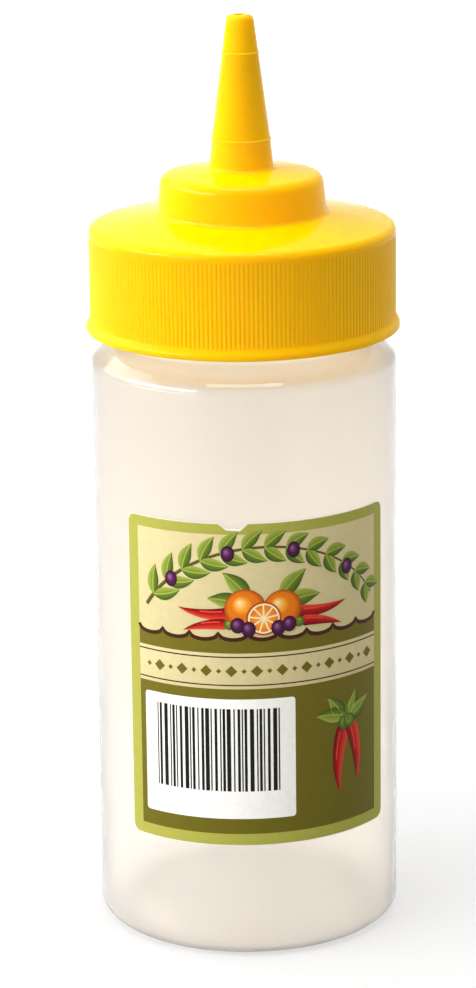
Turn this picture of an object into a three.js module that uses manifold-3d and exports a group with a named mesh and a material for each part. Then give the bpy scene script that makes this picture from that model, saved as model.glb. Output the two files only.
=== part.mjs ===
// Condiment squeeze bottle: a blow-moulded bottle, its label, a flat seal ring and a screw cap with a cone nozzle.
// Millimetres, +Z up. The origin is the middle of the base, on the surface that the bottle stands on. The front,
// which carries the label, looks along -Y. The cap is screwed down.
import * as THREE from 'three';
import { mergeVertices } from 'three/addons/utils/BufferGeometryUtils.js';
import Module from 'manifold-3d';

const wasm = await Module();
wasm.setup();

// Facets: counts round the axis, and in a quarter turn of a rounded corner
const roundSteps = 60;
const nozzleSteps = 30;
const cornerSteps = 3;
const chamferBelow = 0.6; // a round smaller than this has one facet

// Bottle body
const bodyDiameter = 69.85;
const bodyHeight = 137.8; // base to the top of the shoulder, at the neck
const bodyWall = 1;
const heelRound = 3.5;
const shoulderRound = 3;
const shoulderRise = 4.9; // from the shoulder's edge to the neck
const standingRingWidth = 3.6;
const pushUpHeight = 2.4; // the base's middle stands this far off the table
const pushUpSlopeWidth = 3.2;
const pushUpRound = 1.2;

// Bottle neck, with a 63 mm finish
const shoulderWidth = 4.825; // body wall to neck wall
const neckHeight = 21.8; // shoulder to rim
const neckWall = 1.6;
const neckFootRound = 0.5;
const rimRound = 0.3;

// Screw thread: one start, right-handed, on the neck and inside the cap
const threadPitch = 5;
const threadTurns = 1.5;
const threadRunOutDegrees = 36; // over which each end sinks into its wall
const threadBelowRim = 3.4; // rim to the thread's top flank
const threadDepth = 1.2;
const threadBaseWidth = 2.4;
const threadCrestWidth = 1.2;
const capThreadTurns = 1.25;
const capThreadBaseWidth = 2.6;
const capThreadCrestWidth = 1.2;
const threadRootSink = 0.5; // a ridge's root lies this deep in its wall
const threadEndSink = 0.2; // and so does the crest, at each end
const threadPlay = 0.3; // cap thread's crest to the neck's wall
const flankPlay = 0.3; // cap thread to the flank that it pulls against
const capWallPlay = 0.7; // neck thread's crest to the cap's wall

// Seal ring, flat, between the rim and the cap's roof
const sealThickness = 1.5;
const sealPlay = 0.3; // above it, below it and round it
const sealSetBack = 0.4; // its bore is wider than the neck's by this much, all round

// Label, wrapped round the front of the body
const labelAboveBase = 27.3;
const labelBelowShoulder = 34.7;
const labelWidth = 66; // along the arc
const labelTurnDegrees = 5.9; // its middle lies to the right of the front
const labelSlope = 0.0072; // it went on slightly crooked: rise for each millimetre to the right
const labelCornerRound = 1.9;
const labelThickness = 0.15;
const labelGap = 0.1;
const nickWidth = 6.6; // a shallow nick in the top edge
const nickDepth = 1.4;
const nickOffset = -6.4; // from the label's middle, along the arc
const nickSideShare = 0.26; // of its width, for each slanted side
const nickShallowShare = 0.8; // of its depth, at its left end

// Cap skirt
const capAboveShoulder = 1.9;
const skirtWall = 2.2; // under the ribs
const mouthChamferWidth = 0.9;
const mouthChamferHeight = 1.6;
const beadDepth = 1; // it stands out past the ribs
const beadHeight = 2.2;
const beadRound = 0.8;
const ribCount = 216;
const ribDepth = 0.5;
const ribEndSink = 0.2; // each end of a rib lies this deep in the bead or the smooth band
const smoothBandHeight = 1.9; // between the ribs' ends and the roof's edge

// Cap roof and dome
const roofThickness = 1.6;
const roofEdgeRound = 1.7;
const roofRise = 2.7; // skirt's edge to the dome's foot
const sealLandWidth = 3.4;
const domeDiameter = 38.5; // at its foot
const domeHeight = 8.7;
const domeDrawIn = 1; // its side leans in by this much
const domeFootRound = 0.7;
const domeEdgeRound = 2.4;
const domeRise = 1.3; // edge to the nozzle's foot
const domeWall = 1.8;
const domeInnerRound = 0.9;

// Nozzle, with two raised rings that show where to cut it for a wider stream
const nozzleHeight = 34.4; // from its foot on the dome to the tip
const nozzleFootDiameter = 14.6;
const nozzleFootRound = 0.8;
const nozzleTipDiameter = 5.9;
const nozzleTipRound = 1.3;
const nozzleWall = 1.35; // at its foot
const nozzleFootSink = 0.05; // the foot's edge lies this deep in the dome
const orificeDiameter = 2.6;
const lowRingHeight = 6.8; // above the nozzle's foot
const lowRingDiameter = 13.1;
const highRingBelowTip = 8.3;
const ringDepth = 0.22;
const ringWidth = 0.7;

// Places that follow from those sizes
const bodyRadius = bodyDiameter / 2;
const shoulderEdge = bodyHeight - shoulderRise;
const standingRingOuter = bodyRadius - heelRound;
const standingRingInner = standingRingOuter - standingRingWidth;
const neckRadius = bodyRadius - shoulderWidth;
const neckBore = neckRadius - neckWall;
const rimHeight = bodyHeight + neckHeight;
const threadCrest = neckRadius + threadDepth;
const threadBottom = rimHeight - threadBelowRim - threadBaseWidth / 2 - threadPitch * threadTurns;
const capThreadCrest = neckRadius + threadPlay;
const skirtBore = threadCrest + capWallPlay;
const ribRootRadius = skirtBore + skirtWall;
const ribSeatRadius = ribRootRadius - ribDepth / 2;
const ribCrestRadius = ribRootRadius + ribDepth;
const beadRadius = ribCrestRadius + beadDepth;
const skirtBottom = bodyHeight + capAboveShoulder;
const ribBottom = skirtBottom + beadHeight;
const sealBottom = rimHeight + sealPlay;
const sealTop = sealBottom + sealThickness;
const sealLand = sealTop + sealPlay;
const roofEdge = sealLand + roofThickness;
const ribTop = roofEdge - smoothBandHeight;
const domeRadius = domeDiameter / 2;
const domeEdgeRadius = domeRadius - domeDrawIn;
const domeFoot = roofEdge + roofRise;
const domeEdge = domeFoot + domeHeight;
const nozzleFootRadius = nozzleFootDiameter / 2;
const nozzleFoot = domeEdge + domeRise;
const nozzleTip = nozzleFoot + nozzleHeight;

// How far a round may run along a side: the rounds at its two ends share most of it by their sizes
const roundedShare = 0.98;

function roomOn(side, round, nextRound = 0) {
  return (roundedShare * side.length() * round) / (round + nextRound);
}

// The points of an outline whose corners are [distance from the axis, height, size of the corner's round]
function outline(corners, closed) {
  const cornerAt = (i) => corners[(i + corners.length) % corners.length];
  const placeOf = ([distance, height]) => new THREE.Vector2(distance, height);
  const points = [];
  corners.forEach(([, , round = 0], i) => {
    const corner = placeOf(cornerAt(i));
    const isEnd = !closed && (i === 0 || i === corners.length - 1);
    if (isEnd || round <= 0) {
      points.push(corner);
      return;
    }
    const [before, after] = [cornerAt(i - 1), cornerAt(i + 1)];
    const back = placeOf(before).sub(corner);
    const ahead = placeOf(after).sub(corner);
    const halfAngle = back.angleTo(ahead) / 2;
    const room = Math.min(roomOn(back, round, before[2]), roomOn(ahead, round, after[2]));
    const tangent = Math.min(round / Math.tan(halfAngle), room);
    const start = back.setLength(tangent);
    const end = ahead.setLength(tangent);
    const toMiddle = tangent / Math.cos(halfAngle);
    const middle = start.clone().add(end).setLength(toMiddle);
    const fullSteps = tangent * Math.tan(halfAngle) < chamferBelow ? 1 : cornerSteps;
    const from = start.clone().sub(middle);
    const to = end.clone().sub(middle);
    const turn = Math.atan2(from.cross(to), from.dot(to));
    const steps = Math.max(1, Math.round((Math.abs(turn) / (Math.PI / 2)) * fullSteps));
    const origin = new THREE.Vector2();
    for (let step = 0; step <= steps; step += 1) {
      points.push(from.clone().rotateAround(origin, (turn * step) / steps).add(middle).add(corner));
    }
  });
  if (closed) points.push(points[0].clone());
  return points;
}

// An outline turned round the axis, starting at the front
function revolve(points, steps) {
  return new THREE.LatheGeometry(points, steps).rotateX(Math.PI / 2);
}

// A closed geometry as a solid that can be joined and cut
function solid(geometry) {
  const bare = new THREE.BufferGeometry();
  bare.setAttribute('position', geometry.getAttribute('position'));
  bare.setIndex(geometry.getIndex());
  const merged = mergeVertices(bare);
  const corners = merged.getIndex().array;
  const kept = [];
  for (let i = 0; i < corners.length; i += 3) {
    const [a, b, c] = corners.slice(i, i + 3);
    if (a !== b && b !== c && c !== a) kept.push(a, b, c);
  }
  return new wasm.Manifold(
    new wasm.Mesh({
      numProp: 3,
      vertProperties: new Float32Array(merged.getAttribute('position').array),
      triVerts: new Uint32Array(kept),
    }),
  );
}

// A solid as a geometry
function geometryOf(body) {
  const mesh = body.getMesh();
  const geometry = new THREE.BufferGeometry();
  geometry.setAttribute('position', new THREE.BufferAttribute(new Float32Array(mesh.vertProperties), 3));
  geometry.setIndex(new THREE.BufferAttribute(new Uint32Array(mesh.triVerts), 1));
  geometry.computeVertexNormals();
  return geometry;
}

// A closed body from rings of as many points each: every ring joins the next, and the first and last are closed
function loft(rings) {
  const size = rings[0].length;
  const last = (rings.length - 1) * size;
  const index = [];
  for (let first = 0; first < last; first += size) {
    for (let side = 0; side < size; side += 1) {
      const here = first + side;
      const beside = first + ((side + 1) % size);
      index.push(here, beside, beside + size, here, beside + size, here + size);
    }
  }
  for (let side = 1; side < size - 1; side += 1) {
    index.push(0, side + 1, side, last, last + side, last + side + 1);
  }
  const geometry = new THREE.BufferGeometry();
  geometry.setAttribute('position', new THREE.Float32BufferAttribute(rings.flat(2), 3));
  geometry.setIndex(index);
  return geometry;
}

// A point at a distance from the axis, turned to the right from the front
function place(angle, distance, height) {
  return [distance * Math.sin(angle), -distance * Math.cos(angle), height];
}

// One ridge of the screw thread. Its root lies in the wall and its crest stands out of it, towards the axis in the
// cap. Each end sinks into the wall.
function threadRidge({ wallRadius, crestRadius, baseWidth, crestWidth, bottom, turns }) {
  const outward = Math.sign(crestRadius - wallRadius);
  const steps = Math.round(turns * roundSteps);
  const runOutSteps = (threadRunOutDegrees / 360) * roundSteps;
  const root = wallRadius - outward * threadRootSink;
  const sunk = wallRadius - outward * threadEndSink;
  const rings = [];
  for (let step = 0; step <= steps; step += 1) {
    const angle = (step / roundSteps) * 2 * Math.PI;
    const height = bottom + (threadPitch * step) / roundSteps;
    const risen = Math.min(1, step / runOutSteps, (steps - step) / runOutSteps);
    const crest = THREE.MathUtils.lerp(sunk, crestRadius, risen);
    const ring = [
      place(angle, root, height - baseWidth / 2),
      place(angle, crest, height - crestWidth / 2),
      place(angle, crest, height + crestWidth / 2),
      place(angle, root, height + baseWidth / 2),
    ];
    rings.push(outward > 0 ? ring.reverse() : ring);
  }
  return solid(loft(rings));
}

// Half the height of a ridge's section at a distance from the axis
function halfWidthAt(distance, wallRadius, crestRadius, baseWidth, crestWidth) {
  return THREE.MathUtils.mapLinear(distance, wallRadius, crestRadius, baseWidth, crestWidth) / 2;
}

// How far the cap's thread lies below the neck's, which it pulls against
function threadDrop() {
  const touching = [capThreadCrest, threadCrest].map(
    (distance) =>
      halfWidthAt(distance, neckRadius, threadCrest, threadBaseWidth, threadCrestWidth) +
      halfWidthAt(distance, skirtBore, capThreadCrest, capThreadBaseWidth, capThreadCrestWidth),
  );
  return Math.max(...touching) + flankPlay;
}

// Bottle: one wall from the pushed-up base to the rim, with the thread on its neck
function makeBottle() {
  const wall = revolve(
    outline([
      [0, pushUpHeight],
      [standingRingInner - pushUpSlopeWidth, pushUpHeight, pushUpRound],
      [standingRingInner, 0, pushUpRound],
      [bodyRadius, 0, heelRound],
      [bodyRadius, shoulderEdge, shoulderRound],
      [neckRadius, bodyHeight, neckFootRound],
      [neckRadius, rimHeight, rimRound],
      [neckBore, rimHeight, rimRound],
      [neckBore, bodyHeight - bodyWall, neckFootRound],
      [bodyRadius - bodyWall, shoulderEdge - bodyWall, shoulderRound - bodyWall],
      [bodyRadius - bodyWall, bodyWall, heelRound - bodyWall],
      [standingRingInner, bodyWall, pushUpRound],
      [standingRingInner - pushUpSlopeWidth, pushUpHeight + bodyWall, pushUpRound],
      [0, pushUpHeight + bodyWall],
    ]),
    roundSteps,
  );
  const thread = threadRidge({
    wallRadius: neckRadius,
    crestRadius: threadCrest,
    baseWidth: threadBaseWidth,
    crestWidth: threadCrestWidth,
    bottom: threadBottom,
    turns: threadTurns,
  });
  return geometryOf(solid(wall).add(thread));
}

// Seal ring: a flat washer that the cap presses on the rim
function makeSealRing() {
  const bore = neckBore + sealSetBack;
  const edge = skirtBore - sealPlay;
  const section = outline([[bore, sealBottom], [edge, sealBottom], [edge, sealTop], [bore, sealTop]], true);
  return geometryOf(solid(revolve(section, roundSteps)));
}

// The label's top edge dips at its nick: the share of the nick's depth at a distance along the arc
function nickShare(along) {
  const share = (along - nickOffset) / nickWidth + 0.5;
  if (share <= 0 || share >= 1) return 0;
  const floor = THREE.MathUtils.lerp(nickShallowShare, 1, share);
  return floor * Math.min(1, share / nickSideShare, (1 - share) / nickSideShare);
}

// Label: a thin sheet that lies on the body's facets. It is built in columns from its left end to its right end
function makeLabel() {
  const half = labelWidth / 2;
  const turn = THREE.MathUtils.degToRad(labelTurnDegrees);
  const facet = (2 * Math.PI) / roundSteps;
  const columns = [-half, half];
  for (const side of [-1, 1]) {
    for (let step = 1; step <= cornerSteps; step += 1) {
      const lean = (step / cornerSteps) * (Math.PI / 2);
      columns.push(side * (half - labelCornerRound * (1 - Math.cos(lean))));
    }
  }
  for (const share of [0, nickSideShare, 1 - nickSideShare, 1]) {
    columns.push(nickOffset + nickWidth * (share - 0.5));
  }
  for (let angle = -Math.PI; angle < Math.PI; angle += facet) {
    const along = (angle - turn) * bodyRadius;
    if (Math.abs(along) < half) columns.push(along);
  }
  columns.sort((a, b) => a - b);
  const rings = columns.map((along) => {
    const angle = along / bodyRadius + turn;
    const onFacet = Math.cos(facet / 2) / Math.cos(THREE.MathUtils.euclideanModulo(angle, facet) - facet / 2);
    const inner = (bodyRadius + labelGap) * onFacet;
    const outer = (bodyRadius + labelGap + labelThickness) * onFacet;
    const inCorner = Math.max(0, labelCornerRound - (half - Math.abs(along)));
    const rounded = labelCornerRound - Math.sqrt(labelCornerRound ** 2 - inCorner ** 2);
    const bottom = labelAboveBase + labelSlope * along + rounded;
    const top = bodyHeight - labelBelowShoulder + labelSlope * along - rounded - nickDepth * nickShare(along);
    return [place(angle, inner, top), place(angle, outer, top), place(angle, outer, bottom), place(angle, inner, bottom)];
  });
  return geometryOf(solid(loft(rings)));
}

// The skirt's ribs: a ring with a serrated outer edge. It sits in a groove round the skirt, and its ends lie in the
// bead and in the smooth band
function makeRibs() {
  const spacing = (2 * Math.PI) / ribCount;
  const points = [];
  for (let rib = 0; rib < ribCount; rib += 1) {
    const crest = place(rib * spacing, ribCrestRadius, 0);
    const root = place((rib + 0.5) * spacing, ribRootRadius, 0);
    points.push(new THREE.Vector2(...crest), new THREE.Vector2(...root));
  }
  const edge = new THREE.Shape(points);
  edge.holes.push(new THREE.Path().absarc(0, 0, ribRootRadius - ribDepth, 0, 2 * Math.PI, true));
  const ribs = new THREE.ExtrudeGeometry(edge, {
    depth: ribTop - ribBottom + ribEndSink * 2,
    bevelEnabled: false,
    curveSegments: roundSteps / 2,
  });
  return solid(ribs.translate(0, 0, ribBottom - ribEndSink));
}

// The nozzle's outer distance from the axis at a height: one slope below the low ring, another above it
function nozzleRadiusAt(height) {
  const ring = nozzleFoot + lowRingHeight;
  const { mapLinear } = THREE.MathUtils;
  if (height < ring) return mapLinear(height, nozzleFoot, ring, nozzleFootRadius, lowRingDiameter / 2);
  return mapLinear(height, ring, nozzleTip, lowRingDiameter / 2, nozzleTipDiameter / 2);
}

// A raised ring on the nozzle, as corners of the cap's outline
function cutRing(height) {
  return [
    [nozzleRadiusAt(height - ringWidth / 2), height - ringWidth / 2],
    [nozzleRadiusAt(height) + ringDepth, height],
    [nozzleRadiusAt(height + ringWidth / 2), height + ringWidth / 2],
  ];
}

// The nozzle: a hollow cone whose wall reaches through the dome. Its foot blends into the dome's top
function makeNozzle() {
  const footRadius = nozzleFootRadius + 2 * nozzleFootRound;
  const domeTop = THREE.MathUtils.mapLinear(footRadius, nozzleFootRadius, domeEdgeRadius, nozzleFoot, domeEdge);
  const wall = [
    [nozzleFootRadius - nozzleWall, nozzleFoot - domeWall],
    [nozzleFootRadius, nozzleFoot - domeWall],
    [footRadius, domeTop - nozzleFootSink],
    [nozzleFootRadius, nozzleFoot, nozzleFootRound],
    ...cutRing(nozzleFoot + lowRingHeight),
    ...cutRing(nozzleTip - highRingBelowTip),
    [nozzleTipDiameter / 2, nozzleTip, nozzleTipRound],
    [orificeDiameter / 2, nozzleTip],
  ];
  return solid(revolve(outline(wall, true), nozzleSteps));
}

// Cap: skirt, roof, dome and nozzle in one moulding, with ribs outside and a thread inside
function makeCap() {
  const nozzleSeatRadius = nozzleFootRadius - nozzleWall / 2;
  const domeBore = domeRadius - domeWall;
  const domeEdgeBore = domeEdgeRadius - domeWall;
  const outside = [
    [beadRadius, skirtBottom, beadRound],
    [beadRadius, ribBottom, beadRound],
    [ribSeatRadius, ribBottom],
    [ribSeatRadius, ribTop],
    [ribCrestRadius, ribTop],
    [ribCrestRadius, roofEdge, roofEdgeRound],
    [domeRadius, domeFoot, domeFootRound],
    [domeEdgeRadius, domeEdge, domeEdgeRound],
    [nozzleSeatRadius, nozzleFoot],
  ];
  const inside = [
    [nozzleSeatRadius, nozzleFoot - domeWall],
    [domeEdgeBore, domeEdge - domeWall, domeInnerRound],
    [domeBore, domeFoot - roofThickness],
    [skirtBore - sealLandWidth, sealLand],
    [skirtBore, sealLand],
    [skirtBore, skirtBottom + mouthChamferHeight],
    [skirtBore + mouthChamferWidth, skirtBottom],
  ];
  const thread = threadRidge({
    wallRadius: skirtBore,
    crestRadius: capThreadCrest,
    baseWidth: capThreadBaseWidth,
    crestWidth: capThreadCrestWidth,
    bottom: threadBottom - threadDrop(),
    turns: capThreadTurns,
  });
  const shell = solid(revolve(outline([...outside, ...inside], true), roundSteps));
  return geometryOf(shell.add(makeRibs()).add(makeNozzle()).add(thread));
}

// Materials
const milkyPlastic = new THREE.MeshStandardMaterial({ color: 0xf3eee2, roughness: 0.42, metalness: 0 });
const yellowPlastic = new THREE.MeshStandardMaterial({ color: 0xfcc800, roughness: 0.28, metalness: 0 });
const whiteRubber = new THREE.MeshStandardMaterial({ color: 0xe9e6dc, roughness: 0.7, metalness: 0 });
const printedFilm = new THREE.MeshStandardMaterial({ color: 0x9aa446, roughness: 0.4, metalness: 0 });

function piece(name, geometry, material) {
  const mesh = new THREE.Mesh(geometry, material);
  mesh.name = name;
  return mesh;
}

const squeezeBottle = new THREE.Group();
squeezeBottle.add(
  piece('bottle', makeBottle(), milkyPlastic),
  piece('label', makeLabel(), printedFilm),
  piece('seal_ring', makeSealRing(), whiteRubber),
  piece('cap', makeCap(), yellowPlastic),
);

export default squeezeBottle;
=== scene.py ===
# A condiment squeeze bottle: milky bottle, printed label, seal ring and yellow screw cap with a cone nozzle.
# Metres, +Z up. The bottle stands on z = 0 round the Z axis, and its label looks along -Y.
import cmath
import math

import bpy
import numpy as np
from mathutils import Matrix, Vector


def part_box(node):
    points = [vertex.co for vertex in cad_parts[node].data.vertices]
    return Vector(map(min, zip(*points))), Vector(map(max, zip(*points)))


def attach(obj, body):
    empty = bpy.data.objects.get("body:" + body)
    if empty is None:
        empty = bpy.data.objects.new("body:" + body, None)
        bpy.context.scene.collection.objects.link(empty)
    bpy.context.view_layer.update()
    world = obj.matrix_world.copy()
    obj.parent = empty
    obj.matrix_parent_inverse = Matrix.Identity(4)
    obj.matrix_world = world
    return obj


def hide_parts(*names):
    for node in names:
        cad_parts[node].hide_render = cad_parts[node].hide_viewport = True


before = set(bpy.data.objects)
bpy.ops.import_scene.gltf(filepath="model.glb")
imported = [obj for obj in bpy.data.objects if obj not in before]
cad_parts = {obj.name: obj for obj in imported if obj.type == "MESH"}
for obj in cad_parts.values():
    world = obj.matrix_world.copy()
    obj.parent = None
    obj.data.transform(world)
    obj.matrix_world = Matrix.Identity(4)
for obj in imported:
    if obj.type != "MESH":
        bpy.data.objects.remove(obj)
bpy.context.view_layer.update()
mm = 0.001

# The bottle. One blow-moulded wall of milky low-density polyethylene, open at the neck. The mould's two
# halves leave a fine seam up its sides and pinch the tube shut under the base. A thread of one start runs
# round the neck.
bottle_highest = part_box("bottle")[1]
body_radius = bottle_highest.x
rim_height = bottle_highest.z
shoulder_height = 137.8 * mm
shoulder_rise = 4.9 * mm
shoulder_round = 3 * mm
heel_round = 3.5 * mm
body_wall = 1 * mm
neck_radius = 30.1 * mm
neck_wall = 1.6 * mm
neck_foot_round = 0.5 * mm
rim_round = 0.3 * mm
standing_ring_inner = 27.825 * mm
push_up_height = 2.4 * mm
push_up_slope = 3.2 * mm
push_up_round = 1.2 * mm
seam_height = 0.05 * mm
seam_width = 0.22 * mm
pinch_height = 0.3 * mm
pinch_width = 0.45 * mm
pinch_length = 21 * mm
pinch_row = 12 * mm
bottle_columns = 288
round_step = math.radians(11)
sharp_edge = math.radians(40)
hair = 0.01 * mm

thread_pitch = 5 * mm
thread_row = 0.3 * mm
thread_run_out_turns = 0.1
neck_thread = {
    "bottom": 147.5 * mm,
    "turns": 1.5,
    "base_width": 2.4 * mm,
    "crest_width": 1.2 * mm,
    "depth": 1.2 * mm,
}


def section_of(corners, closed=False):
    """The outline of a turned piece, as complex numbers: distance + height j.

    A corner is (distance, height) or (distance, height, round).
    """
    places = [complex(*corner[:2]) for corner in corners]
    points = []
    for i, (_, _, *size) in enumerate(corners):
        at_end = not closed and i in (0, len(corners) - 1)
        if at_end or not size:
            points.append(places[i])
            continue
        back = places[i - 1] - places[i]
        ahead = places[(i + 1) % len(places)] - places[i]
        between = cmath.phase(ahead / back)
        half = abs(between) / 2
        start = places[i] + back / abs(back) * size[0] / math.tan(half)
        middle = places[i] + back / abs(back) * cmath.rect(size[0] / math.sin(half), between / 2)
        turn = math.copysign(math.pi - abs(between), -between)
        steps = max(2, round(abs(turn) / round_step))
        for step in range(steps + 1):
            points.append(middle + (start - middle) * cmath.rect(1, turn * step / steps))
    return points


def even_angles(count):
    """Angles round the axis, from the front to the right."""
    return np.arange(count) * 2 * math.pi / count


def ring_of(distance, height, angles):
    """A ring of points round the axis. One on the axis is a single point."""
    if np.max(distance) < 1e-9:
        return np.array([[0, 0, np.mean(height)]])
    ones = np.ones(len(angles))
    return np.stack([distance * np.sin(angles), -distance * np.cos(angles), height * ones], axis=1)


def piece_of_rings(name, rings, closed=False):
    """A smooth piece whose rings are joined in turn.

    A ring may have several points for each of its neighbour's, or only one, on the axis.
    """
    starts = np.cumsum([0] + [len(ring) for ring in rings])
    numbers = [range(start, start + len(ring)) for start, ring in zip(starts, rings)]
    faces = []
    for lower, upper in zip(numbers, numbers[1:] + numbers[:1] if closed else numbers[1:]):
        counts = [len(lower), len(upper)]
        segments = min(counts) if min(counts) > 1 else max(counts)
        for segment in range(segments):
            sides = []
            for ring in (lower, upper):
                each = len(ring) // segments
                first = segment * each
                sides.append([ring[(first + k) % len(ring)] for k in range(each + 1)] if each else [ring[0]])
            faces.append(sides[0] + sides[1][::-1])
    mesh = bpy.data.meshes.new(name)
    mesh.from_pydata(np.concatenate(rings).tolist(), [], faces)
    mesh.polygons.foreach_set("use_smooth", [True] * len(mesh.polygons))
    mesh.set_sharp_from_angle(angle=sharp_edge)
    mesh.validate()
    piece = bpy.data.objects.new(name, mesh)
    bpy.context.scene.collection.objects.link(piece)
    return piece


def thread_rise(angles, height, bottom, turns, base_width, crest_width, depth):
    """How far a right-handed ridge stands out of its wall at these angles and this height."""
    risen = np.zeros(len(angles))
    for lap in range(math.ceil(turns)):
        along = angles / (2 * math.pi) + lap
        off_middle = np.abs(height - bottom - thread_pitch * along)
        flank = np.clip((base_width / 2 - off_middle) / ((base_width - crest_width) / 2), 0, 1)
        run_out = np.clip(np.minimum(along, turns - along) / thread_run_out_turns, 0, 1)
        risen = np.maximum(risen, depth * flank * run_out)
    return risen


def thread_rows(distance, bottom, top):
    """Extra corners along a threaded wall, close enough to carry the ridge."""
    rows = round(abs(top - bottom) / thread_row)
    return [(distance, bottom + (top - bottom) * row / rows) for row in range(rows + 1)]


seam_offsets = np.array([-0.6, -0.3, -0.15, 0.15, 0.3, 0.6]) * mm / body_radius
seam_angles = np.array([math.pi / 2, 3 * math.pi / 2])
bottle_angles = np.sort(
    np.concatenate([even_angles(bottle_columns), *(seam_offsets + seam for seam in seam_angles)])
)
neck_thread_bottom = neck_thread["bottom"] - neck_thread["base_width"]
neck_thread_top = neck_thread["bottom"] + thread_pitch * neck_thread["turns"] + neck_thread["base_width"]
bottle_outside = section_of([
    (0, push_up_height),
    (pinch_row, push_up_height),
    (standing_ring_inner - push_up_slope, push_up_height, push_up_round),
    (standing_ring_inner, 0, push_up_round),
    (body_radius, 0, heel_round),
    (body_radius, shoulder_height - shoulder_rise, shoulder_round),
    (neck_radius, shoulder_height, neck_foot_round),
    *thread_rows(neck_radius, neck_thread_bottom, neck_thread_top),
    (neck_radius, rim_height, rim_round),
    (neck_radius - neck_wall, rim_height, rim_round),
    (neck_radius - neck_wall, shoulder_height),
])
bottle_inside = section_of([
    (neck_radius - neck_wall, rim_height),
    (neck_radius - neck_wall, shoulder_height - body_wall, neck_foot_round),
    (body_radius - body_wall, shoulder_height - shoulder_rise - body_wall, shoulder_round - body_wall),
    (body_radius - body_wall, body_wall, heel_round - body_wall),
    (standing_ring_inner, body_wall, push_up_round),
    (standing_ring_inner - push_up_slope, push_up_height + body_wall, push_up_round),
    (0, push_up_height + body_wall),
])


def blown_ring(point):
    """A ring of the bottle's outside, with its thread, its side seams and the pinch-off under the base."""
    distance, height = point.real, point.imag
    off_seam = np.abs(np.abs((bottle_angles % (2 * math.pi)) - math.pi) - math.pi / 2)
    seam = seam_height * np.exp(-((off_seam * distance / seam_width) ** 2))
    if distance < pinch_length and height < rim_height / 2:
        across = distance * np.sin(off_seam)
        fade = 1 - (distance / pinch_length) ** 4
        pinch = pinch_height * fade * np.exp(-((across / pinch_width) ** 2))
        return ring_of(distance, height - pinch, bottle_angles)
    on_wall = height > heel_round and distance >= neck_radius - hair
    thread = thread_rise(bottle_angles, height, **neck_thread)
    return ring_of(distance + on_wall * np.maximum(seam, thread), height, bottle_angles)


bottle = piece_of_rings(
    "bottle_wall",
    [blown_ring(point) for point in bottle_outside]
    + [ring_of(point.real, point.imag, bottle_angles) for point in bottle_inside[1:]],
)


def material_of(name):
    """A new material, its node tree and its shader."""
    material = bpy.data.materials.new(name)
    material.use_nodes = True
    tree = material.node_tree
    return material, tree, tree.nodes["Principled BSDF"]


def linear(red, green, blue):
    """A colour given as it looks on a screen, 0 to 255, as a shader takes it."""
    return tuple(
        (c / 255 / 12.92 if c <= 10 else ((c / 255 + 0.055) / 1.055) ** 2.4) for c in (red, green, blue)
    ) + (1,)


def mottle(tree, scale, detail, low, high, stretch=(1, 1, 1)):
    """A value that wanders between low and high over the piece, at so many blotches a metre."""
    noise_low, noise_high = 0.3, 0.7
    place = tree.nodes.new("ShaderNodeTexCoord")
    stretched = tree.nodes.new("ShaderNodeMapping")
    stretched.inputs["Scale"].default_value = stretch
    noise = tree.nodes.new("ShaderNodeTexNoise")
    noise.inputs["Scale"].default_value = scale
    noise.inputs["Detail"].default_value = detail
    spread = tree.nodes.new("ShaderNodeMapRange")
    spread.inputs["From Min"].default_value = noise_low
    spread.inputs["From Max"].default_value = noise_high
    spread.inputs["To Min"].default_value = low
    spread.inputs["To Max"].default_value = high
    tree.links.new(place.outputs["Object"], stretched.inputs["Vector"])
    tree.links.new(stretched.outputs["Vector"], noise.inputs["Vector"])
    tree.links.new(noise.outputs["Fac"], spread.inputs["Value"])
    return spread.outputs["Result"]


def two_tone(tree, share, first, second):
    """A colour between the first and the second, each a fixed colour or another node's."""
    mix = tree.nodes.new("ShaderNodeMix")
    mix.data_type = "RGBA"
    for name, colour in (("A", first), ("B", second)):
        if isinstance(colour, tuple):
            mix.inputs[name].default_value = colour
        else:
            tree.links.new(colour, mix.inputs[name])
    tree.links.new(share, mix.inputs["Factor"])
    return mix.outputs["Result"]


def rise_between(tree, low, high):
    """A value that goes from 0 to 1 between two heights."""
    place = tree.nodes.new("ShaderNodeTexCoord")
    parts = tree.nodes.new("ShaderNodeSeparateXYZ")
    spread = tree.nodes.new("ShaderNodeMapRange")
    spread.inputs["From Min"].default_value = low
    spread.inputs["From Max"].default_value = high
    tree.links.new(place.outputs["Object"], parts.inputs["Vector"])
    tree.links.new(parts.outputs["Z"], spread.inputs["Value"])
    return spread.outputs["Result"]


def relief(tree, shader, height, strength, distance):
    """Fine relief of a surface, from a value."""
    bump = tree.nodes.new("ShaderNodeBump")
    bump.inputs["Strength"].default_value = strength
    bump.inputs["Distance"].default_value = distance
    tree.links.new(height, bump.inputs["Height"])
    tree.links.new(bump.outputs["Normal"], shader.inputs["Normal"])


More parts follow.
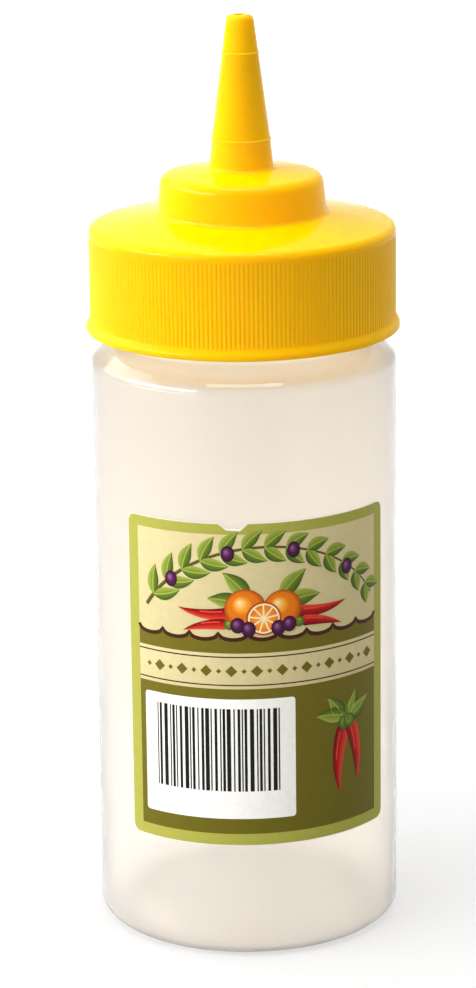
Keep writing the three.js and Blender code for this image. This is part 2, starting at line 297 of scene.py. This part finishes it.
def milky_polyethylene():
    """Cream-white and waxy. It lets light through, blurs what is behind and has the faint waves of blowing.

    Its colour is painted by height: painted shade at the heel, painted shade that deepens up the wall, a
    painted peach reflection of the yellow cap at the shoulder's edge, and painted cream light from the cap on
    the shoulder and neck.
    """
    # Painted shade: heights between which the heel's colour darkens, standing in for the shade where the
    # bottle meets the floor.
    painted_heel_shade_bottom = 1 * mm
    painted_heel_shade_top = 10 * mm
    shoulder_edge = shoulder_height - shoulder_rise
    # Heights of the painted reflection of the cap and of the painted cream light above it.
    painted_reflection_height = shoulder_edge + 1 * mm
    painted_shoulder_light_height = shoulder_edge + 3 * mm
    material, tree, shader = material_of("milky_polyethylene")
    patches = mottle(tree, scale=30, detail=2, low=0, high=1)
    pale = two_tone(tree, patches, linear(247, 243, 237), linear(244, 240, 233))
    # Painted shade: the wall's colour darkens upwards towards the shoulder, holding back the light that falls
    # on the upper body.
    painted_wall_shade_rise = rise_between(tree, 0, shoulder_height)
    wall = two_tone(tree, painted_wall_shade_rise, pale, linear(227, 221, 212))
    # Painted shade: the darker heel colour, for the shade low down by the floor.
    painted_heel_shade_rise = rise_between(tree, painted_heel_shade_bottom, painted_heel_shade_top)
    body = two_tone(tree, painted_heel_shade_rise, linear(232, 227, 221), wall)
    # Painted reflection: a peach band just above the shoulder's edge stands in for the yellow cap reflected
    # in the shoulder.
    painted_reflection_rise = rise_between(tree, shoulder_edge, painted_reflection_height)
    peach = two_tone(tree, painted_reflection_rise, body, linear(230, 212, 181))
    # Painted light: the shoulder and neck are lighter and cream, standing in for the cap's yellow light over
    # the cap's shadow.
    painted_shoulder_light_rise = rise_between(tree, painted_reflection_height, painted_shoulder_light_height)
    painted_shoulder_light = two_tone(tree, painted_shoulder_light_rise, peach, linear(246, 235, 214))
    tree.links.new(painted_shoulder_light, shader.inputs["Base Color"])
    wax = mottle(tree, scale=160, detail=3, low=0.4, high=0.46)
    tree.links.new(wax, shader.inputs["Roughness"])
    shader.inputs["IOR"].default_value = 1.1
    shader.inputs["Transmission Weight"].default_value = 0.9
    shader.inputs["Subsurface Weight"].default_value = 1
    shader.inputs["Subsurface Radius"].default_value = (1, 0.85, 0.65)
    shader.inputs["Subsurface Scale"].default_value = 3 * mm
    shader.inputs["Coat Weight"].default_value = 1
    shader.inputs["Coat Roughness"].default_value = 0.05
    waves = mottle(tree, scale=45, detail=1, low=0, high=1, stretch=(1, 1, 0.4))
    relief(tree, shader, waves, strength=0.15, distance=0.4 * mm)
    return material


bottle.data.materials.append(milky_polyethylene())
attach(bottle, "bottle")
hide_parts("bottle")

# The label. A white film, 0.15 mm thick, stuck round the front of the body, slightly right of the middle
# and slightly crooked, with a nick torn out of its top edge. Laid out in millimetres, right and up from its
# middle.
label_lowest, label_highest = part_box("label")
label_middle = (label_lowest.z + label_highest.z) / 2
label_width = 66
label_height = 75.8
label_turn = math.radians(5.9)
label_slope = 0.0072
label_corner = 1.9
label_gap = 0.1 * mm
film_thickness = 0.15 * mm
ink_layer = 0.012 * mm
nick_middle = -6.4
nick_width = 6.6
nick_depth = 1.4
nick_side_share = 0.26
nick_shallow_share = 0.8
label_column = 1.0


def nick_at(across):
    """How far the top edge dips here."""
    share = (across - nick_middle) / nick_width + 0.5
    if not 0 < share < 1:
        return 0
    floor = nick_shallow_share + (1 - nick_shallow_share) * share
    return nick_depth * floor * min(1, share / nick_side_share, (1 - share) / nick_side_share)


def corner_drop(across, left, right, corner):
    """How far a rounded corner takes in the edge that runs from left to right."""
    past = max(0, corner - min(across - left, right - across))
    return corner - math.sqrt(max(0, corner**2 - past**2))


def label_columns(left, right, corner=0):
    """Places along the label where an outline, or the bottle's curve, needs a column of points."""
    columns = set(np.linspace(left, right, 2 + int((right - left) / label_column)))
    for lean in range(0, 90, 9):
        past = corner * (1 - math.sin(math.radians(lean)))
        columns |= {left + past, right - past}
    for share in (0, nick_side_share, 1 - nick_side_share, 1):
        columns.add(nick_middle + nick_width * (share - 0.5))
    return sorted(column for column in columns if left <= column <= right)


def on_label(across, up, lift):
    """A point on the label, at a distance from the axis, in metres."""
    angle = label_turn + across * mm / body_radius
    distance = body_radius + lift
    height = label_middle + (up + label_slope * across) * mm
    return distance * math.sin(angle), -distance * math.cos(angle), height


def label_film():
    """The bare film, as a closed sheet in columns from its left end to its right end."""
    points, faces = [], []
    left, right = -label_width / 2, label_width / 2
    for across in label_columns(left, right, label_corner):
        drop = corner_drop(across, left, right, label_corner)
        top = label_height / 2 - drop - nick_at(across)
        bottom = drop - label_height / 2
        for up, lift in ((top, 0), (top, film_thickness), (bottom, film_thickness), (bottom, 0)):
            points.append(on_label(across, up, label_gap + lift))
    for first in range(0, len(points) - 4, 4):
        for side in range(4):
            beside = (side + 1) % 4
            faces.append((first + side, first + beside, first + beside + 4, first + side + 4))
    last = len(points) - 4
    faces += [(3, 2, 1, 0), (last, last + 1, last + 2, last + 3)]
    mesh = bpy.data.meshes.new("label_film")
    mesh.from_pydata(points, [], faces)
    mesh.polygons.foreach_set("use_smooth", [True] * len(mesh.polygons))
    mesh.set_sharp_from_angle(angle=sharp_edge)
    film = bpy.data.objects.new("label_film", mesh)
    bpy.context.scene.collection.objects.link(film)
    return film


def white_film():
    """White polypropylene film with a satin face."""
    material, tree, shader = material_of("white_film")
    patches = mottle(tree, scale=400, detail=3, low=0, high=1)
    white = two_tone(tree, patches, linear(246, 243, 232), linear(238, 233, 219))
    tree.links.new(white, shader.inputs["Base Color"])
    satin = mottle(tree, scale=250, detail=2, low=0.38, high=0.46)
    tree.links.new(satin, shader.inputs["Roughness"])
    return material


film = label_film()
film.data.materials.append(white_film())
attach(film, "bottle")
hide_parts("label")

# The label's print. Layers of ink on the film: a green border, a cream field over an olive one with a brown
# line between them, a garland of leaves, oranges, olives and peppers, a row of diamonds and a white panel of
# stripes.
ink_points, ink_colours, ink_faces = [], [], []
side_border = 3.1
top_border = 2.5
bottom_border = 2.8
print_margin = 0.12
torn_rim_share = 1.2
field_half = label_width / 2 - side_border
field_top = label_height / 2 - top_border
field_bottom = bottom_border - label_height / 2
scallop_level = 12.5
scallop_count = 9
scallop_width = 2 * field_half / scallop_count
scallop_depth = 1.5
scallop_line_width = 0.9
band_bottom, band_top = -0.6, 7.8
band_line_inset = 0.9
band_line_half = 0.15
diamond_step = 2.88
diamond_sizes = (1.35, 0.6)
panel_left, panel_right = -28.4, 7.2
panel_bottom, panel_top = -31.5, -3.0
panel_corner = 0.8
stripe_module = 0.305
stripe_modules = 95
stripe_count = 29
stripe_foot = panel_bottom + 6.6
stripe_head = panel_top - 2.3
garland_start = (-27.5, 17.5)
garland_lean = 56
garland_bend = -112
garland_length = 66
garland_steps = 40

border_green = linear(170, 168, 74)
cream = linear(217, 202, 151)
cream_shade = linear(210, 196, 145)
olive_green = linear(104, 96, 22)
olive_shade = linear(112, 102, 28)
line_brown = linear(62, 28, 10)
panel_white = linear(250, 248, 240)
stripe_black = linear(20, 19, 16)
leaf_light = linear(160, 172, 70)
leaf_green = linear(104, 128, 40)
leaf_dark = linear(58, 80, 22)
stem_brown = linear(92, 84, 30)
peel_light = linear(250, 178, 60)
peel_orange = linear(228, 118, 24)
peel_shade = linear(168, 68, 14)
pith = linear(250, 232, 190)
flesh = linear(244, 152, 44)
pepper_light = linear(226, 70, 50)
pepper_red = linear(176, 22, 20)
pepper_shade = linear(96, 6, 10)
fruit_light = linear(150, 96, 140)
fruit_purple = linear(82, 28, 72)
fruit_shade = linear(36, 8, 34)


def ink(lines, colours, layer):
    """Prints the area between neighbouring lines of points, each line in its own colour or colours."""
    first = len(ink_points)
    width = len(lines[0])
    for line, colour in zip(lines, colours):
        each = colour if isinstance(colour, list) else [colour] * width
        for (across, up), shade in zip(line, each):
            ink_points.append(on_label(across, up, label_gap + film_thickness + layer * ink_layer))
            ink_colours.append(shade)
    corner, beside, beyond = lines[0][0], lines[0][1], lines[1][0]
    along = (beside[0] - corner[0], beside[1] - corner[1])
    over = (beyond[0] - corner[0], beyond[1] - corner[1])
    outward = along[0] * over[1] - along[1] * over[0] > 0
    for row in range(len(lines) - 1):
        for column in range(width - 1):
            here = first + row * width + column
            face = (here, here + 1, here + 1 + width, here + width)
            ink_faces.append(face if outward else face[::-1])


def field(left, right, bottom, top, colours, layer, corner=0):
    """A printed field between two edges, which are heights or functions of the place along the label."""
    lines = []
    for edge, inward in ((bottom, 1), (top, -1)):
        line = []
        for across in label_columns(left, right, corner):
            level = edge(across) if callable(edge) else edge
            line.append((across, level + inward * corner_drop(across, left, right, corner)))
        lines.append(line)
    ink(lines, colours, layer)


def stroke(path, widths, colours, layer):
    """A printed stroke along a path, with a colour for its left edge, its middle and its right edge."""
    lines = [[], [], []]
    for i, (across, up) in enumerate(path):
        before, after = path[max(0, i - 1)], path[min(len(path) - 1, i + 1)]
        along = Vector((after[0] - before[0], after[1] - before[1])).normalized()
        for line, side in zip(lines, (0.5, 0, -0.5)):
            line.append((across - along.y * widths[i] * side, up + along.x * widths[i] * side))
    ink(lines, colours, layer)


def curve(start, lean, length, bend, steps=12):
    """Points along an arc that leaves start at a lean and turns by bend, in degrees from rightwards."""
    points, (across, up) = [start], start
    for step in range(steps):
        heading = math.radians(lean + bend * (step + 0.5) / steps)
        across += length / steps * math.cos(heading)
        up += length / steps * math.sin(heading)
        points.append((across, up))
    return points


def leaf(start, lean, length, width, bend, layer):
    """A leaf with a light midrib, broadest before its middle."""
    broad_foot = 0.8
    midrib_width = 0.3
    path = curve(start, lean, length, bend)
    shares = [i / (len(path) - 1) for i in range(len(path))]
    widths = [width * math.sin(math.pi * share**broad_foot) for share in shares]
    stroke(path, widths, [leaf_light, leaf_green, leaf_dark], layer)
    stroke(path[:-1], [midrib_width] * (len(path) - 1), [leaf_light] * 3, layer + 0.5)


def fruit(middle, radius, colours, layer, light=(-0.3, 0.35), tall=1.0):
    """A round fruit, shaded from a light spot, up and to the left of its middle, to its edge."""
    spots = 28
    lines = []
    for ring in range(len(colours)):
        share = ring / (len(colours) - 1)
        centre = [middle[k] + light[k] * radius * (1 - share) for k in (0, 1)]
        turns = [2 * math.pi * spot / spots for spot in range(spots + 1)]
        lines.append([
            (centre[0] + share * radius * math.cos(turn), centre[1] + share * radius * tall * math.sin(turn))
            for turn in turns
        ])
    ink(lines, colours, layer)


def orange_slice(middle, radius, layer):
    """A cut orange: peel, pith, and flesh in segments."""
    segments = 9
    skin_width = 0.35
    fruit(middle, radius, [peel_orange, peel_orange, peel_shade], layer, (0, 0))
    fruit(middle, radius * 0.9, [pith] * 3, layer + 0.5, (0, 0))
    fruit(middle, radius * 0.8, [peel_light, flesh, peel_orange], layer + 1, (0, 0))
    for segment in range(segments):
        skin = curve(middle, 360 / segments * segment + 12, radius * 0.84, 0, 4)
        stroke(skin, [skin_width] * len(skin), [pith] * 3, layer + 1.5)


def pepper(start, lean, length, width, bend, layer):
    """A long red pepper with its green stalk."""
    highlight_width = 0.35
    path = curve(start, lean, length, bend, 18)
    shares = [i / (len(path) - 1) for i in range(len(path))]
    widths = [width * min(1, 6 * share + 0.35) * (1 - share**2.2) for share in shares]
    stroke(path, widths, [pepper_light, pepper_red, pepper_shade], layer)
    highlight = [(across - 0.12 * width, up + 0.2 * width) for across, up in path[3:11]]
    stroke(highlight, [highlight_width] * len(highlight), [pepper_light] * 3, layer + 0.4)
    fruit(start, width * 0.5, [leaf_light, leaf_green, leaf_dark], layer + 0.5, (-0.2, 0.3))
    stalk = curve(start, lean + 180, width * 1.3, 40, 6)
    stalk_widths = [0.75, 0.7, 0.65, 0.6, 0.6, 0.65, 0.75]
    stroke(stalk, stalk_widths, [leaf_green, leaf_green, leaf_dark], layer + 0.6)


def scallops(across):
    """The edge between the cream field and the olive one: a row of hanging arcs."""
    share = (across + field_half) / scallop_width % 1
    return scallop_level - scallop_depth * math.sqrt(max(0, 1 - (2 * share - 1) ** 2))


def diamonds(level, sizes, colour, layer):
    """A row of diamonds along the label, of sizes that take turns."""
    count = round(2 * field_half / diamond_step)
    for number in range(1, count):
        middle = 2 * field_half * number / count - field_half
        half = sizes[number % len(sizes)]
        shares = np.linspace(-1, 1, 9)
        lower = [(middle + half * share, level - half * (1 - abs(share))) for share in shares]
        upper = [(middle + half * share, level + half * (1 - abs(share))) for share in shares]
        ink([lower, upper], [colour, colour], layer)


field(print_margin - label_width / 2, label_width / 2 - print_margin,
      print_margin - label_height / 2,
      lambda across: label_height / 2 - print_margin - torn_rim_share * nick_at(across),
      [border_green, border_green], 1, label_corner)
field(-field_half, field_half, field_bottom, field_top, [olive_green, olive_shade], 2)
scallop_steps = 12
scallop_places = np.linspace(-field_half, field_half, scallop_count * scallop_steps + 1)
scallop_line = [(across, scallops(across)) for across in scallop_places]
ink([scallop_line, [(across, field_top) for across in scallop_places]], [cream_shade, cream], 3)
stroke(scallop_line, [scallop_line_width] * len(scallop_line), [line_brown] * 3, 4)

# Garland over the cream field
branch = curve(garland_start, garland_lean, garland_length, garland_bend, garland_steps)
branch_widths = [0.9 - 0.6 * i / garland_steps for i in range(len(branch))]
stroke(branch, branch_widths, [stem_brown, stem_brown, leaf_dark], 5)
for number, (across, up) in enumerate(branch[2:garland_steps:3]):
    lean = garland_lean + garland_bend * (2 + 3 * number) / garland_steps
    leaf_length = 7.2 - 0.18 * number
    for side in (-1, 1):
        leaf((across, up), lean + side * 48, leaf_length, 3.0, -side * 26, 6 + number % 2)
for number in (6, 15, 24, 33):
    across, up = branch[number]
    fruit((across, up - 0.4), 1.5, [fruit_light, fruit_purple, fruit_shade], 9, tall=1.25)

# Cluster under the garland
cluster_leaves = [
    ((-4, 19), 158),
    ((-3, 20.5), 122),
    ((4, 20.5), 58),
    ((5, 19), 22),
    ((-5, 16.5), 186),
    ((6, 16.5), -6),
]
for start, lean in cluster_leaves:
    leaf(start, lean, 8.6, 3.9, 24 if lean > 90 else -24, 8)
pepper((-6.5, 17.4), 192, 13, 2.8, -30, 10)
pepper((-7.4, 14.6), 176, 11, 2.5, 28, 12)
pepper((7.4, 17.2), -12, 13, 2.8, 30, 10)
pepper((8.2, 14.6), 2, 11, 2.5, -26, 12)
fruit((-3.9, 18.2), 4.6, [pith, peel_light, peel_orange, peel_orange, peel_shade], 14)
fruit((4.4, 18), 4.3, [pith, peel_light, peel_orange, peel_orange, peel_shade], 15)
orange_slice((0.2, 15.9), 3.9, 17)
for across, up in ((-5.6, 14.4), (5.9, 14.3), (3.4, 13.6), (-3.2, 13.5)):
    fruit((across, up), 1.6, [fruit_light, fruit_purple, fruit_shade], 20, tall=1.15)

# Band of diamonds, white panel of stripes and a spray of peppers on the olive field
field(-field_half, field_half, band_bottom, band_top, [cream_shade, cream], 3)
for level in (band_bottom + band_line_inset, band_top - band_line_inset):
    line_bottom, line_top = level - band_line_half, level + band_line_half
    field(-field_half, field_half, line_bottom, line_top, [line_brown, line_brown], 4)
diamonds((band_bottom + band_top) / 2, diamond_sizes, olive_green, 4)
field(panel_left, panel_right, panel_bottom, panel_top, [panel_white, panel_white], 3, panel_corner)
stripe_left = (panel_left + panel_right - stripe_modules * stripe_module) / 2
for number in range(stripe_count):
    stripe_right = stripe_left + stripe_module * (1 + number * 7 % 5 // 2)
    field(stripe_left, stripe_right, stripe_foot, stripe_head, [stripe_black, stripe_black], 4)
    stripe_left = stripe_right + stripe_module * (1 + number * 3 % 4 // 2)
spray_leaves = [
    ((20.2, -11), 118),
    ((20.7, -12), 62),
    ((20.2, -10), 160),
    ((20.7, -11), 24),
]
for start, lean in spray_leaves:
    leaf(start, lean, 8.2, 3.6, 22, 3)
pepper((19.9, -11.4), -112, 17, 3.7, 34, 5)
pepper((21.1, -11.2), -66, 15, 3.4, -30, 8)


def printed_ink():
    """Satin printing ink. Its colours are the mesh's own, a little uneven, as a press lays them down."""
    material, tree, shader = material_of("printed_ink")
    colour = tree.nodes.new("ShaderNodeVertexColor")
    colour.layer_name = "ink"
    uneven = tree.nodes.new("ShaderNodeHueSaturation")
    tree.links.new(mottle(tree, scale=700, detail=3, low=0.96, high=1.02), uneven.inputs["Value"])
    tree.links.new(colour.outputs["Color"], uneven.inputs["Color"])
    tree.links.new(uneven.outputs["Color"], shader.inputs["Base Color"])
    satin = mottle(tree, scale=250, detail=2, low=0.36, high=0.44)
    tree.links.new(satin, shader.inputs["Roughness"])
    shader.inputs["Specular IOR Level"].default_value = 0.12
    return material


print_mesh = bpy.data.meshes.new("label_print")
print_mesh.from_pydata(ink_points, [], ink_faces)
print_colours = print_mesh.color_attributes.new("ink", "FLOAT_COLOR", "POINT")
print_colours.data.foreach_set("color", np.array(ink_colours, np.float32).ravel())
label_print = bpy.data.objects.new("label_print", print_mesh)
bpy.context.scene.collection.objects.link(label_print)
label_print.data.materials.append(printed_ink())
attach(label_print, "bottle")

# The seal ring. A flat ring of off-white silicone between the rim and the cap's roof. It rises with the cap
# and doesn't turn with it.
seal_lowest, seal_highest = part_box("seal_ring")
seal_set_back = 0.4 * mm
seal_bore = neck_radius - neck_wall + seal_set_back
seal_edge_round = 0.25 * mm
seal_angles = even_angles(180)


def off_white_silicone():
    """Soft, matt silicone."""
    material, tree, shader = material_of("off_white_silicone")
    patches = mottle(tree, scale=300, detail=3, low=0, high=1)
    tone = two_tone(tree, patches, linear(232, 228, 214), linear(222, 217, 201))
    tree.links.new(tone, shader.inputs["Base Color"])
    matt = mottle(tree, scale=500, detail=3, low=0.6, high=0.75)
    tree.links.new(matt, shader.inputs["Roughness"])
    shader.inputs["Subsurface Weight"].default_value = 0.3
    shader.inputs["Subsurface Radius"].default_value = (1, 0.9, 0.8)
    shader.inputs["Subsurface Scale"].default_value = 1 * mm
    return material


seal_section = section_of([
    (seal_bore, seal_lowest.z, seal_edge_round),
    (seal_highest.x, seal_lowest.z, seal_edge_round),
    (seal_highest.x, seal_highest.z, seal_edge_round),
    (seal_bore, seal_highest.z, seal_edge_round),
], closed=True)
seal_rings = [ring_of(point.real, point.imag, seal_angles) for point in seal_section]
seal = piece_of_rings("rim_seal", seal_rings, closed=True)
seal.data.materials.append(off_white_silicone())
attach(seal, "seal")
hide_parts("seal_ring")

# The cap. One injection moulding of glossy yellow polyethylene: a skirt with 216 fine ribs and a bead round
# its foot, a crowned roof, a stepped dome and a tall cone nozzle with two fine rings where it can be cut
# wider.
cap_lowest, cap_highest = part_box("cap")
skirt_bottom = cap_lowest.z
nozzle_tip = cap_highest.z
bead_radius = cap_highest.x
bead_top = 140.9 * mm
bead_foot_round = 0.5 * mm
bead_top_round = 1.2 * mm
flare_top = 142.3 * mm
flare_round = 1 * mm
rib_count = 216
rib_columns = 8
rib_depth = 0.2 * mm
groove_power = 0.8
rib_crest = 34.7 * mm
rib_bottom = 141.7 * mm
rib_bottom_fade = 0.5 * mm
rib_top = 161.4 * mm
rib_top_fade = 0.4 * mm
roof_edge = 163.3 * mm
roof_edge_round = 1.7 * mm
dome_radius = 19.25 * mm
dome_foot = 166 * mm
dome_foot_round = 1.2 * mm
dome_edge_radius = 18.25 * mm
dome_edge = 174.7 * mm
dome_edge_round = 2.4 * mm
dome_wall = 1.8 * mm
dome_inner_round = 0.9 * mm
nozzle_foot = 176 * mm
nozzle_foot_radius = 7.3 * mm
nozzle_foot_round = 1.2 * mm
nozzle_tip_radius = 2.95 * mm
nozzle_tip_round = 1.3 * mm
nozzle_wall = 1.35 * mm
low_ring = 182.8 * mm
low_ring_radius = 6.55 * mm
high_ring = nozzle_tip - 8.3 * mm
ring_depth = 0.2 * mm
ring_slope_height = 0.7 * mm
ring_ledge_height = 0.2 * mm
orifice_radius = 1.3 * mm
skirt_bore = 32 * mm
seal_land = 161.7 * mm
seal_land_width = 3.4 * mm
roof_thickness = 1.6 * mm
mouth_chamfer_width = 0.9 * mm
mouth_chamfer_height = 1.6 * mm
thread_play = 0.3 * mm
cap_thread_drop = 1.95 * mm
cap_thread = {
    "bottom": neck_thread["bottom"] - cap_thread_drop,
    "turns": 1.25,
    "base_width": 2.6 * mm,
    "crest_width": 1.2 * mm,
    "depth": skirt_bore - neck_radius - thread_play,
}


def nozzle_radius(height):
    """The nozzle's outer radius: one slope below the low ring, another above it."""
    heights = [nozzle_foot, low_ring, nozzle_tip]
    return float(np.interp(height, heights, [nozzle_foot_radius, low_ring_radius, nozzle_tip_radius]))


def cut_ring(height):
    """The corners of a fine raised ring on the nozzle: a slope that ends in a narrow ledge."""
    below = height - ring_slope_height
    above = height + ring_ledge_height
    return [
        (nozzle_radius(below), below),
        (nozzle_radius(height) + ring_depth, height),
        (nozzle_radius(above), above),
    ]


def rib_ring(distance, height):
    """A ring through the ribs: round crests with narrow grooves between them, which run out at both ends."""
    angles = even_angles(rib_count * rib_columns)
    groove = 1 - np.abs(np.cos(angles * rib_count / 2)) ** groove_power
    over_foot = (height - rib_bottom) / rib_bottom_fade
    under_top = (rib_top - height) / rib_top_fade
    share = np.clip(min(over_foot, under_top), 0, 1)
    return ring_of(distance - rib_depth * share * groove, height, angles)


cap_thread_top = cap_thread["bottom"] + thread_pitch * cap_thread["turns"] + cap_thread["base_width"]
cap_outside = [
    (bead_radius, skirt_bottom, bead_foot_round),
    (bead_radius, bead_top, bead_top_round),
    (rib_crest, flare_top, flare_round),
    (rib_crest, rib_top - rib_top_fade),
    (rib_crest, rib_top),
    (rib_crest, roof_edge, roof_edge_round),
    (dome_radius, dome_foot, dome_foot_round),
    (dome_edge_radius, dome_edge, dome_edge_round),
    (nozzle_foot_radius, nozzle_foot, nozzle_foot_round),
    *cut_ring(low_ring),
    *cut_ring(high_ring),
    (nozzle_tip_radius, nozzle_tip, nozzle_tip_round),
]
cap_inside = [
    (orifice_radius, nozzle_tip),
    (nozzle_foot_radius - nozzle_wall, nozzle_foot - dome_wall, dome_inner_round),
    (dome_edge_radius - dome_wall, dome_edge - dome_wall, dome_inner_round),
    (dome_radius - dome_wall, dome_foot - roof_thickness, dome_inner_round),
    (skirt_bore - seal_land_width, seal_land),
    (skirt_bore, seal_land),
    *thread_rows(skirt_bore, cap_thread_top, cap_thread["bottom"] - cap_thread["base_width"]),
    (skirt_bore, skirt_bottom + mouth_chamfer_height),
    (skirt_bore + mouth_chamfer_width, skirt_bottom),
]
cap_angles = even_angles(rib_count)
cap_rings = []
for point in section_of(cap_outside + cap_inside, closed=True):
    distance, height = point.real, point.imag
    if distance > rib_crest - hair and rib_bottom <= height <= rib_top:
        cap_rings.append(rib_ring(distance, height))
        continue
    inside_skirt = abs(distance - skirt_bore) < hair
    thread = inside_skirt * thread_rise(cap_angles, height, **cap_thread)
    cap_rings.append(ring_of(distance - thread, height, cap_angles))
cap = piece_of_rings("screw_cap", cap_rings, closed=True)


def glossy_yellow():
    """Warm yellow polyethylene, glossy and slightly waxy. Light that sinks in comes out more orange."""
    material, tree, shader = material_of("glossy_yellow_polyethylene")
    patches = mottle(tree, scale=60, detail=2, low=0, high=1)
    yellow = two_tone(tree, patches, linear(255, 190, 0), linear(254, 187, 0))
    tree.links.new(yellow, shader.inputs["Base Color"])
    gloss = mottle(tree, scale=300, detail=3, low=0.17, high=0.22)
    tree.links.new(gloss, shader.inputs["Roughness"])
    shader.inputs["Specular IOR Level"].default_value = 0.02
    shader.inputs["Coat Weight"].default_value = 0.15
    shader.inputs["Coat Roughness"].default_value = 0.06
    shader.inputs["Subsurface Weight"].default_value = 1
    shader.inputs["Subsurface Radius"].default_value = (1, 0.3, 0.05)
    shader.inputs["Subsurface Scale"].default_value = 3 * mm
    mould_grain = mottle(tree, scale=600, detail=2, low=0, high=1)
    relief(tree, shader, mould_grain, strength=0.03, distance=0.2 * mm)
    return material


cap.data.materials.append(glossy_yellow())
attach(cap, "cap")
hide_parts("cap")

# The camera stands 0.77 m in front, a little above the cap, and looks down at the bottle's middle. The
# photograph is 988 pixels tall and 476 wide.
photo_height = 988
focal_pixels = 3458.2
camera_place = (0, -0.7662, 0.3162)
camera_pitch = 0.27506
camera_yaw = 0.00216
camera_roll = -0.0120

lens = bpy.data.cameras.new("camera")
lens.sensor_width = 36
lens.lens = focal_pixels * lens.sensor_width / photo_height
camera = bpy.data.objects.new("camera", lens)
camera.matrix_world = (
    Matrix.Translation(camera_place)
    @ Matrix.Rotation(camera_yaw, 4, "Z")
    @ Matrix.Rotation(math.pi / 2 - camera_pitch, 4, "X")
    @ Matrix.Rotation(camera_roll, 4, "Z")
)
bpy.context.scene.collection.objects.link(camera)
bpy.context.scene.camera = camera

# The light. A wide, low soft box stands to the left, at about the camera's height, with a weaker one beside
# it and a third overhead. Two faint ones, in front and to the right, light the plastic but don't show in its
# gloss. A white studio fills in.
soft_boxes = {
    "key_light": {
        "azimuth": -66, "elevation": 24, "distance": 1.6, "size": (1.6, 0.5), "power": 28, "in_gloss": True
    },
    "side_light": {
        "azimuth": -112, "elevation": 30, "distance": 1.6, "size": (1.4, 1.0), "power": 11, "in_gloss": True
    },
    "front_light": {
        "azimuth": -22, "elevation": 12, "distance": 1.6, "size": (1.4, 1.0), "power": 4.5, "in_gloss": False
    },
    "right_light": {
        "azimuth": 108, "elevation": 20, "distance": 1.6, "size": (1.2, 1.0), "power": 4.5, "in_gloss": False
    },
    "top_light": {
        "azimuth": 0, "elevation": 88, "distance": 1.4, "size": (1.0, 1.0), "power": 14.5, "in_gloss": True
    },
}
light_aim = Vector((0, 0, 0.12))
studio_level = 0.34


def soft_box(name, azimuth, elevation, distance, size, power, in_gloss):
    """A rectangular soft box that looks at the bottle, seen from it at these angles in degrees."""
    box = bpy.data.lights.new(name, "AREA")
    box.shape = "RECTANGLE"
    box.size, box.size_y = size
    box.energy = power
    lamp = bpy.data.objects.new(name, box)
    lamp.visible_glossy = in_gloss
    round_axis, upward = math.radians(azimuth), math.radians(elevation)
    level_reach = math.cos(upward)
    out = Vector((math.sin(round_axis) * level_reach, -math.cos(round_axis) * level_reach, math.sin(upward)))
    lamp.location = light_aim + out * distance
    lamp.rotation_euler = out.to_track_quat("Z", "Y").to_euler()
    bpy.context.scene.collection.objects.link(lamp)


for name, settings in soft_boxes.items():
    soft_box(name, **settings)

studio = bpy.data.worlds.new("studio")
bpy.context.scene.world = studio
studio.use_nodes = True
studio_tree = studio.node_tree


def seen_rays(tree):
    """1 for rays that see the background: the camera's, and those that gloss or clear plastic send on."""
    path = tree.nodes.new("ShaderNodeLightPath")
    total = path.outputs["Is Camera Ray"]
    for name in ("Is Glossy Ray", "Is Transmission Ray"):
        add = tree.nodes.new("ShaderNodeMath")
        add.operation = "ADD"
        add.use_clamp = True
        tree.links.new(total, add.inputs[0])
        tree.links.new(path.outputs[name], add.inputs[1])
        total = add.outputs["Value"]
    return total


seen = seen_rays(studio_tree)
level = studio_tree.nodes.new("ShaderNodeMapRange")
level.inputs["To Min"].default_value = studio_level
level.inputs["To Max"].default_value = 1
studio_tree.links.new(seen, level.inputs["Value"])
studio_tree.links.new(level.outputs["Result"], studio_tree.nodes["Background"].inputs["Strength"])
studio_tree.nodes["Background"].inputs["Color"].default_value = (1, 1, 1, 1)

# The floor. A wide sheet of white card. It glows for the rays that see it, more so away from the bottle, and
# the card that shows through the milky plastic is white too, as if the light came through it.
floor_half = 6
floor_level = -0.02 * mm
card_grey = 0.32
glow_start = 0.08
glow_end = 0.35
glow_near = 0.5
floor_mesh = bpy.data.meshes.new("floor")
floor_signs = [(-1, -1), (1, -1), (1, 1), (-1, 1)]
floor_corners = [(floor_half * across, floor_half * along, floor_level) for across, along in floor_signs]
floor_mesh.from_pydata(floor_corners, [], [(0, 1, 2, 3)])
floor = bpy.data.objects.new("floor", floor_mesh)
bpy.context.scene.collection.objects.link(floor)


def white_card():
    """Matt white card."""
    material, tree, shader = material_of("white_card")
    shader.inputs["Base Color"].default_value = (card_grey, card_grey, card_grey, 1)
    shader.inputs["Roughness"].default_value = 0.7
    shader.inputs["Emission Color"].default_value = (1, 1, 1, 1)
    place = tree.nodes.new("ShaderNodeTexCoord")
    reach = tree.nodes.new("ShaderNodeVectorMath")
    reach.operation = "LENGTH"
    glow = tree.nodes.new("ShaderNodeMapRange")
    glow.interpolation_type = "SMOOTHSTEP"
    glow.inputs["From Min"].default_value = glow_start
    glow.inputs["From Max"].default_value = glow_end
    glow.inputs["To Min"].default_value = glow_near
    glow.inputs["To Max"].default_value = 1
    strength = tree.nodes.new("ShaderNodeMath")
    strength.operation = "MULTIPLY"
    path = tree.nodes.new("ShaderNodeLightPath")
    through_plastic = tree.nodes.new("ShaderNodeMath")
    through_plastic.operation = "MAXIMUM"
    tree.links.new(place.outputs["Object"], reach.inputs[0])
    tree.links.new(reach.outputs["Value"], glow.inputs["Value"])
    tree.links.new(glow.outputs["Result"], strength.inputs[0])
    tree.links.new(seen_rays(tree), strength.inputs[1])
    tree.links.new(strength.outputs["Value"], through_plastic.inputs[0])
    tree.links.new(path.outputs["Is Transmission Ray"], through_plastic.inputs[1])
    tree.links.new(through_plastic.outputs["Value"], shader.inputs["Emission Strength"])
    return material


floor.data.materials.append(white_card())

bpy.context.scene.view_settings.view_transform = "Standard"
